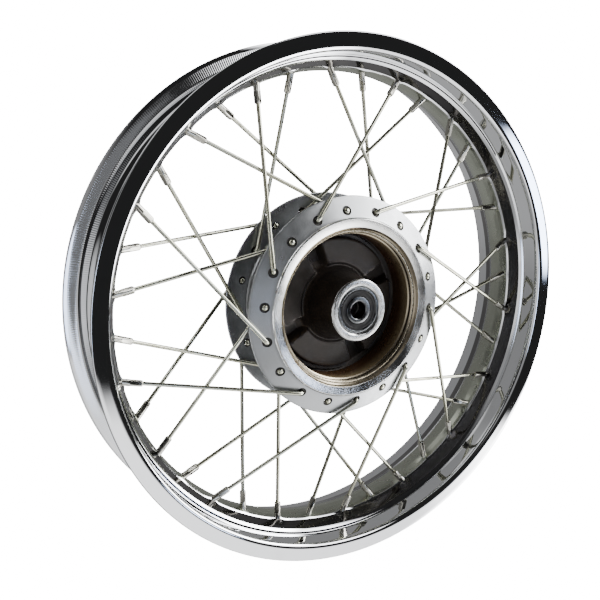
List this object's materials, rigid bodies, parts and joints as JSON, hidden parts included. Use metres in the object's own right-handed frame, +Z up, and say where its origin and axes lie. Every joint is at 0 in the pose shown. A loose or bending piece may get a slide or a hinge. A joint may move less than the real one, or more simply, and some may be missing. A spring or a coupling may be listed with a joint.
{
  "type": "spoked motorcycle wheel",
  "caption": "Spoked rear motorcycle wheel: chromed steel rim, laced wire spokes with nipples, drum-brake hub on sealed ball bearings with a cush drive.",
  "frame": {"origin": "on the axle line, in the middle of the wheel's overall width", "axes": "+Y along the axle towards the sprocket side, +Z up, the brake drum opens towards -Y"},
  "size_m": [0.4646, 0.095, 0.4646],
  "materials": {
    "rim_chrome": "bright chrome plate",
    "hub_alloy": "satin grey painted casting with machined faces",
    "drum_iron": "machined iron with brown lacquer",
    "spoke_zinc": "bright zinc plate",
    "bearing_steel": "ground steel",
    "black_rubber": "matt moulded rubber",
    "collar_steel": "plain turned steel"
  },
  "bodies": {
    "axle_set": {"drum_bearing_inner_race": "bearing_steel", "sprocket_bearing_inner_race": "bearing_steel", "distance_collar": "collar_steel"},
    "wheel": {"rim": "rim_chrome", "hub": "hub_alloy", "brake_liner": "drum_iron", "spoke_01": "spoke_zinc", "spoke_02": "spoke_zinc", "spoke_03": "spoke_zinc", "spoke_04": "spoke_zinc", "spoke_05": "spoke_zinc", "spoke_06": "spoke_zinc", "spoke_07": "spoke_zinc", "spoke_08": "spoke_zinc", "spoke_09": "spoke_zinc", "spoke_10": "spoke_zinc", "spoke_11": "spoke_zinc", "spoke_12": "spoke_zinc", "spoke_13": "spoke_zinc", "spoke_14": "spoke_zinc", "spoke_15": "spoke_zinc", "spoke_16": "spoke_zinc", "spoke_17": "spoke_zinc", "spoke_18": "spoke_zinc", "spoke_19": "spoke_zinc", "spoke_20": "spoke_zinc", "spoke_21": "spoke_zinc", "spoke_22": "spoke_zinc", "spoke_23": "spoke_zinc", "spoke_24": "spoke_zinc", "spoke_25": "spoke_zinc", "spoke_26": "spoke_zinc", "spoke_27": "spoke_zinc", "spoke_28": "spoke_zinc", "spoke_29": "spoke_zinc", "spoke_30": "spoke_zinc", "spoke_31": "spoke_zinc", "spoke_32": "spoke_zinc", "spoke_33": "spoke_zinc", "spoke_34": "spoke_zinc", "spoke_35": "spoke_zinc", "spoke_36": "spoke_zinc", "drum_bearing_outer_race": "bearing_steel", "drum_bearing_seal": "black_rubber", "sprocket_bearing_outer_race": "bearing_steel", "sprocket_bearing_seal": "black_rubber", "damper_1": "black_rubber", "damper_2": "black_rubber", "damper_3": "black_rubber", "damper_4": "black_rubber", "boss_o_ring": "black_rubber"},
    "drum_ball_set": {"drum_bearing_balls": "bearing_steel"},
    "sprocket_ball_set": {"sprocket_bearing_balls": "bearing_steel"}
  },
  "joints": [
    {"name": "wheel_spin", "type": "hinge", "parent": "axle_set", "child": "wheel", "pos_m": [0, 0, 0], "axis": [0, 1, 0], "continuous": true},
    {"name": "drum_balls_spin", "type": "hinge", "parent": "axle_set", "child": "drum_ball_set", "pos_m": [0, 0, 0], "axis": [0, 1, 0], "continuous": true},
    {"name": "sprocket_balls_spin", "type": "hinge", "parent": "axle_set", "child": "sprocket_ball_set", "pos_m": [0, 0, 0], "axis": [0, 1, 0], "continuous": true}
  ],
  "couplings": [
    {"joint": "drum_balls_spin", "follows": "wheel_spin", "ratio": 0.6393},
    {"joint": "sprocket_balls_spin", "follows": "wheel_spin", "ratio": 0.6393}
  ]
}
